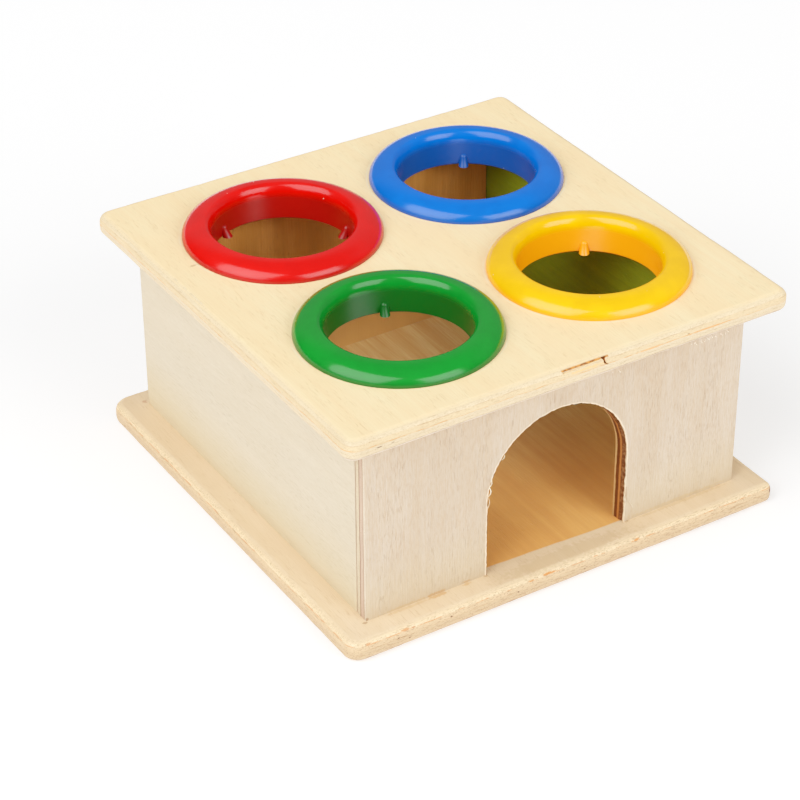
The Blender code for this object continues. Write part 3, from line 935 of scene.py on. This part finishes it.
# Frayed fibres that hang from the underside's front edge, in two runs
FRAY_RUNS = ((28.5, 38.5, 15), (8.0, 10.5, 2))
FRAY_THICKNESS = 0.06
for run_start, run_end, count in FRAY_RUNS:
    for index in range(count):
        share = (index + 0.5) / count
        lean = math.sin(index * 2.4)
        drop = 0.12 + 0.26 * abs(math.sin(index * 1.7 + 0.5))
        across = run_start + (run_end - run_start) * share
        root = (across, -54.35 + 0.25 * math.cos(index * 3.1), 50.25)
        tip = (across + 0.55 * lean, root[1] - 0.25, 50.05 - drop)
        middle = ((root[0] + tip[0]) / 2, (root[1] + tip[1]) / 2 - 0.12, (root[2] + tip[2]) / 2)
        torn_fibre_piece(top_board, (root, middle, tip), FRAY_THICKNESS)

# Painted light: the top's face tones are paler than the base plate's, though both are the same board
TOP_FACE = {
    "ground": (240, 220, 183),
    "cloud": (238, 216, 176),
    "fibre": (231, 207, 166),
    "band": (234, 211, 170),
    "pore": (208, 178, 136),
}
TOP_SIDE = {"fibre": (212, 190, 154), "pore": (176, 140, 102), "speckle": 0.45, "ticks": 0.35}
TOP_PLIES = (
    (0.0, (224, 211, 196)),
    (0.00112, (222, 206, 176)),
    (0.00290, (224, 204, 166)),
    (0.00405, (226, 210, 178)),
)
TOP_LINES = (
    (1.10, 0.100, (146, 112, 94), 0.90, 0.45),
    (2.05, 0.050, (200, 170, 128), 0.35, 0.90),
    (2.92, 0.090, (222, 160, 90), 0.85, 0.75),
    (4.02, 0.070, (192, 150, 122), 0.60, 0.95),
)
TOP_MARKS = (
    ((-47.4, 22.0, 55.0), (1.0, 0.45, 0.4), (176, 140, 104), 0.55),
    ((-46.2, 21.6, 55.0), (0.5, 0.3, 0.4), (190, 156, 118), 0.45),
    ((-47.7, -55.0, 52.3), (0.9, 0.6, 0.16), (104, 78, 60), 0.85),
    ((-44.8, -55.0, 52.3), (0.5, 0.6, 0.12), (130, 98, 76), 0.60),
    ((8.2, -54.8, 50.4), (0.8, 0.7, 0.35), (240, 234, 224), 0.95),
    ((33.0, -54.9, 52.9), (6.0, 0.9, 0.30), (226, 168, 98), 0.60),
    ((18.0, -54.9, 52.9), (5.0, 0.9, 0.28), (226, 170, 102), 0.55),
    ((1.5, -54.9, 53.5), (5.0, 0.9, 0.35), (236, 196, 134), 0.65),
    ((27.5, -55.0, 53.2), (0.35, 0.6, 0.18), (140, 96, 60), 0.70),
)
look = plate_look("lacquered_top_birch", "top_plate", TOP_FACE, TOP_PLIES, TOP_SIDE, TOP_LINES, 0.37)
top_finish, tree, shader, place, (x, y, z), on_face, colour, roughness, height, _ = look

# A faint pale ring lies just outside each moulding, broken into patches, more on one side than on the other
ring_x, ring_y = RING_CENTRES["blue_ring"]
ring_radius = (ring_high.x - ring_low.x) / 2
off_middle = (reckon(tree, "ABSOLUTE", x), reckon(tree, "ABSOLUTE", y))
to_centre = feed(tree, "ShaderNodeCombineXYZ", *off_middle, 0.0)[0]
to_centre = feed(tree, "ShaderNodeVectorMath", to_centre, (ring_x, ring_y, 0.0), operation="DISTANCE")[1]
pale_ring_mask = between(tree, to_centre, ring_radius + 0.00035, ring_radius + 0.00065, 0.00025)
patchy_pale_ring = fade(tree, noise(tree, place, 0.0090, 0.0090, 2.0, 0.7), 0.42, 0.62)
pale_ring_mask = reckon(tree, "MULTIPLY", pale_ring_mask, patchy_pale_ring)
pale_ring_mask = reckon(tree, "MULTIPLY", pale_ring_mask, on_face)
colour = wash(tree, pale_ring_mask, 0.55, colour, tone(236, 226, 204))
colour = put_marks(tree, place, colour, TOP_MARKS)

# The slit's walls are bare brown veneer, from just behind the front edge to just past the slit's end
SLIT_SIDES = (-0.0043, 0.0073)
SLIT_LEVELS = (0.0525, 0.0546)
SLIT_MOUTH = (-0.05450, -0.05435)
SLIT_END = (-0.0520, -0.0525)
slit_wall = noise(tree, place, 0.0009, 0.0009, 2.0, 0.5)
slit_wall = tint(tree, fade(tree, slit_wall, 0.4, 0.6), tone(150, 90, 34), tone(210, 148, 70))
in_slit = between(tree, x, *SLIT_SIDES, 0.0001)
in_slit = reckon(tree, "MULTIPLY", in_slit, between(tree, z, *SLIT_LEVELS, 0.0001))
in_slit = reckon(tree, "MULTIPLY", in_slit, fade(tree, y, *SLIT_MOUTH))
in_slit = reckon(tree, "MULTIPLY", in_slit, fade(tree, y, *SLIT_END))
in_slit = reckon(tree, "MULTIPLY", in_slit, reckon(tree, "SUBTRACT", 1.0, on_face))
colour = tint(tree, in_slit, colour, slit_wall)
frayed = fade(tree, z, top_low.z - 0.00003, top_low.z - 0.00006)
colour = tint(tree, frayed, colour, tone(238, 230, 214))
lay_on(tree, shader, colour, roughness, height, PLATE_RELIEF)
hand_over(top_board, top_finish, "plate_birch", "top_plate")


# Rings: one glossy moulding in four colours. A domed rim comes down to the plate, its underside is
# hollow, and a sleeve goes through the hole. Three ribs stand on the bore and lean back into its wall.
BORE = 0.01565
RIM_WIDTH = 0.00655
CREST = 0.0016
INNER_RISE = 0.0025
SLEEVE_WALL = 0.0016
SHELL = 0.0016
SLEEVE_LIP = 0.0004
RIB_RADIUS = 0.00115
RIB_TIP_RADIUS = 0.00085
RIB_REACH = 0.0019
RIB_HEIGHT = 0.0027
RIB_LEAN = 0.0014
RIB_LIFT = 0.0001
SEAT_GAP = 0.00002
ring_low, ring_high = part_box("green_ring")
rim_top = ring_high.z
rim_seat = top_high.z + SEAT_GAP


def moulded_ring(name, node, first_rib):
    """Shapes the section from a circle, spins it round the bore, and joins the ribs on."""
    across, along = RING_CENTRES[node]
    crest_line = across + BORE + CREST
    rise = rim_top - rim_seat
    tiny = SLEEVE_LIP / 100
    bpy.ops.object.select_all(action="DESELECT")
    bpy.ops.mesh.primitive_circle_add(
        vertices=128, radius=rise, location=(crest_line, along, rim_seat), rotation=(math.radians(90), 0, 0)
    )
    ring = take_in_hand(name)
    pick(ring, "VERT", lambda corner: corner.co.z < rim_seat - tiny)
    bpy.ops.mesh.delete(type="VERT")
    pick(ring, "VERT", lambda corner: corner.co.x > crest_line + tiny)
    wider = (RIM_WIDTH - CREST) / rise
    bpy.ops.transform.resize(value=(wider, 1, 1), center_override=(crest_line, along, rim_seat))
    pick(ring, "VERT", lambda corner: corner.co.x < crest_line - tiny)
    inner_half = (CREST / rise, 1, INNER_RISE / rise)
    bpy.ops.transform.resize(value=inner_half, center_override=(crest_line, along, rim_top))

    # From the rim's foot up into the hollow, down the sleeve, round its lip and up the bore
    pick(ring, "VERT", lambda corner: corner.co.z < rim_seat + tiny and corner.co.x > crest_line)
    hollow_width = RIM_WIDTH - SLEEVE_WALL - SHELL
    hollow_rise = rise - SHELL
    steps = [(-SHELL, 0)]
    steps += [(-hollow_width * 0.12, hollow_rise * 0.70), (-hollow_width * 0.30, hollow_rise * 0.30)]
    steps += [(-hollow_width * 0.30, 0), (-hollow_width * 0.20, -hollow_rise * 0.30)]
    steps += [(-hollow_width * 0.08, -hollow_rise * 0.70)]
    sleeve_drop = rim_seat - ring_low.z
    steps += [(0, SLEEVE_LIP - sleeve_drop), (-SLEEVE_LIP, -SLEEVE_LIP)]
    steps += [(2 * SLEEVE_LIP - SLEEVE_WALL, 0), (-SLEEVE_LIP, SLEEVE_LIP)]
    for outward, up in steps:
        bpy.ops.mesh.extrude_region_move(TRANSFORM_OT_translate={"value": (outward, 0, up)})
    bpy.ops.mesh.select_all(action="SELECT")
    bpy.ops.mesh.remove_doubles(threshold=tiny)
    bore_line = across + BORE
    bore_end = rim_top - INNER_RISE + tiny
    pick(ring, "VERT", lambda corner: abs(corner.co.x - bore_line) < 5 * tiny and corner.co.z < bore_end)
    bpy.ops.mesh.edge_face_add()
    bpy.ops.mesh.select_all(action="SELECT")
    bpy.ops.mesh.spin(steps=180, angle=math.radians(360), center=(across, along, 0), axis=(0, 0, 1))
    bpy.ops.mesh.select_all(action="SELECT")
    bpy.ops.mesh.remove_doubles(threshold=tiny)
    bpy.ops.mesh.normals_make_consistent(inside=False)
    bpy.ops.object.mode_set(mode="OBJECT")

    # Each rib is a domed post that widens downwards and stands away from the wall at its foot
    rib_foot = ring_low.z + RIB_LIFT
    dome = rib_foot + RIB_HEIGHT - RIB_TIP_RADIUS
    for index in range(3):
        turn = math.radians(first_rib + 120 * index)
        outward = Vector((math.cos(turn), math.sin(turn), 0))
        foot_centre = Vector((across, along, rib_foot)) + outward * (BORE - RIB_REACH + RIB_RADIUS)
        lean = RIB_LEAN * (dome - rib_foot) / RIB_HEIGHT
        dome_centre = foot_centre + outward * lean + Vector((0, 0, dome - rib_foot))
        bpy.ops.object.select_all(action="DESELECT")
        bpy.ops.mesh.primitive_uv_sphere_add(
            segments=32, ring_count=16, radius=RIB_TIP_RADIUS, location=dome_centre
        )
        rib = take_in_hand("rib")
        pick(rib, "VERT", lambda corner: corner.co.z < dome - RIB_RADIUS / 100)
        bpy.ops.mesh.delete(type="VERT")
        pick(rib, "EDGE", lambda edge: edge.is_boundary)
        bpy.ops.mesh.extrude_region_move(TRANSFORM_OT_translate={"value": foot_centre - dome_centre})
        wider = RIB_RADIUS / RIB_TIP_RADIUS
        bpy.ops.transform.resize(value=(wider, wider, 1), center_override=foot_centre)
        bpy.ops.mesh.edge_face_add()
        bpy.ops.mesh.select_all(action="SELECT")
        bpy.ops.mesh.normals_make_consistent(inside=False)
        combine(ring, rib, "UNION")
    return ring


# Dust: a few pale grains of wood dust that the glossy plastic holds on to
dust, takes, gives = new_effect(
    "wood_dust",
    (("Place", "NodeSocketVector"), ("Spacing", "NodeSocketFloat"), ("Share", "NodeSocketFloat")),
    ("Grains",),
)
per_metre = reckon(dust, "DIVIDE", 1.0, takes["Spacing"])
cells = feed(dust, "ShaderNodeTexVoronoi", takes["Place"], None, per_metre)
chance, size_chance, _ = feed(dust, "ShaderNodeSeparateXYZ", cells[1])
chosen = reckon(dust, "LESS_THAN", chance, takes["Share"])
grain_size = reckon(dust, "MULTIPLY_ADD", size_chance, 0.10, 0.05)
near_middle = reckon(dust, "LESS_THAN", cells[0], grain_size)
dust.links.new(reckon(dust, "MULTIPLY", chosen, near_middle), gives["Grains"])
GRAIN_SPACING = 0.0011
GRAIN_SHARE = 0.05
SLEEVE_SHADE_TOP = 0.0018
SLEEVE_SHADE_FOOT = -0.0002
SLEEVE_ROUGHNESS = 0.32
DUST_ROUGHNESS = 0.8
PEEL_DEPTH = 0.000012


def plastic_finish(name, body, sleeve_shade):
    """Glossy plastic with a slight orange peel and a few dust grains; the sleeve is duller, and painted
    shade darkens it.
    """
    material, tree, shader, place, _ = new_finish(name)
    mottle = noise(tree, place, 0.0060, 0.0060, 3.0)
    peel = noise(tree, place, 0.0022, 0.0022, 2.0, 0.4)
    patches = fade(tree, noise(tree, place, 0.0120, 0.0120, 1.0, 0.6), 0.45, 0.60)
    grains = use_effect(tree, dust, place, GRAIN_SPACING, GRAIN_SHARE)[0]
    grains = reckon(tree, "MULTIPLY", grains, patches)
    body_tone = tone(*body)
    deep = tuple(channel * 0.90 for channel in body_tone[:3]) + (1.0,)
    colour = tint(tree, fade(tree, mottle, 0.35, 0.65), deep, body_tone)
    height = feed(tree, "ShaderNodeSeparateXYZ", place)[2]
    # Painted shade: low down, the sleeve, the bore and the rim's lowest flank take the darker sleeve tone;
    # they are also rougher
    sleeve_shade_and_dullness = fade(tree, height, top_high.z + SLEEVE_SHADE_TOP, top_high.z + SLEEVE_SHADE_FOOT)
    colour = tint(tree, sleeve_shade_and_dullness, colour, tone(*sleeve_shade))
    colour = wash(tree, grains, 0.6, colour, tone(236, 232, 222))
    roughness = turn_to(tree, sleeve_shade_and_dullness, reckon(tree, "MULTIPLY_ADD", mottle, 0.06, 0.12), SLEEVE_ROUGHNESS)
    roughness = turn_to(tree, grains, roughness, DUST_ROUGHNESS)
    height = reckon(tree, "ADD", peel, grains)
    lay_on(tree, shader, colour, roughness, height, PEEL_DEPTH)
    shader.inputs["Specular IOR Level"].default_value = 0.44
    shader.inputs["IOR"].default_value = 1.5
    return material


# Each ring: its piece, its node, the first rib's angle, its body tone, the painted shade tone of its sleeve
# and its slot
RING_WORK = (
    ("red_moulding", "red_ring", 117.0, (216, 10, 0), (172, 6, 0), "red_plastic"),
    ("blue_moulding", "blue_ring", 59.0, (0, 114, 206), (0, 84, 166), "blue_plastic"),
    ("yellow_moulding", "yellow_ring", 58.0, (255, 192, 0), (246, 168, 0), "yellow_plastic"),
    ("green_moulding", "green_ring", 69.5, (13, 145, 42), (8, 104, 24), "green_plastic"),
)
for piece_name, ring_node, first_rib, body, sleeve_shade, slot in RING_WORK:
    moulding = moulded_ring(piece_name, ring_node, first_rib)
    finish = plastic_finish(slot + "_gloss", body, sleeve_shade)
    hand_over(moulding, finish, slot, ring_node)
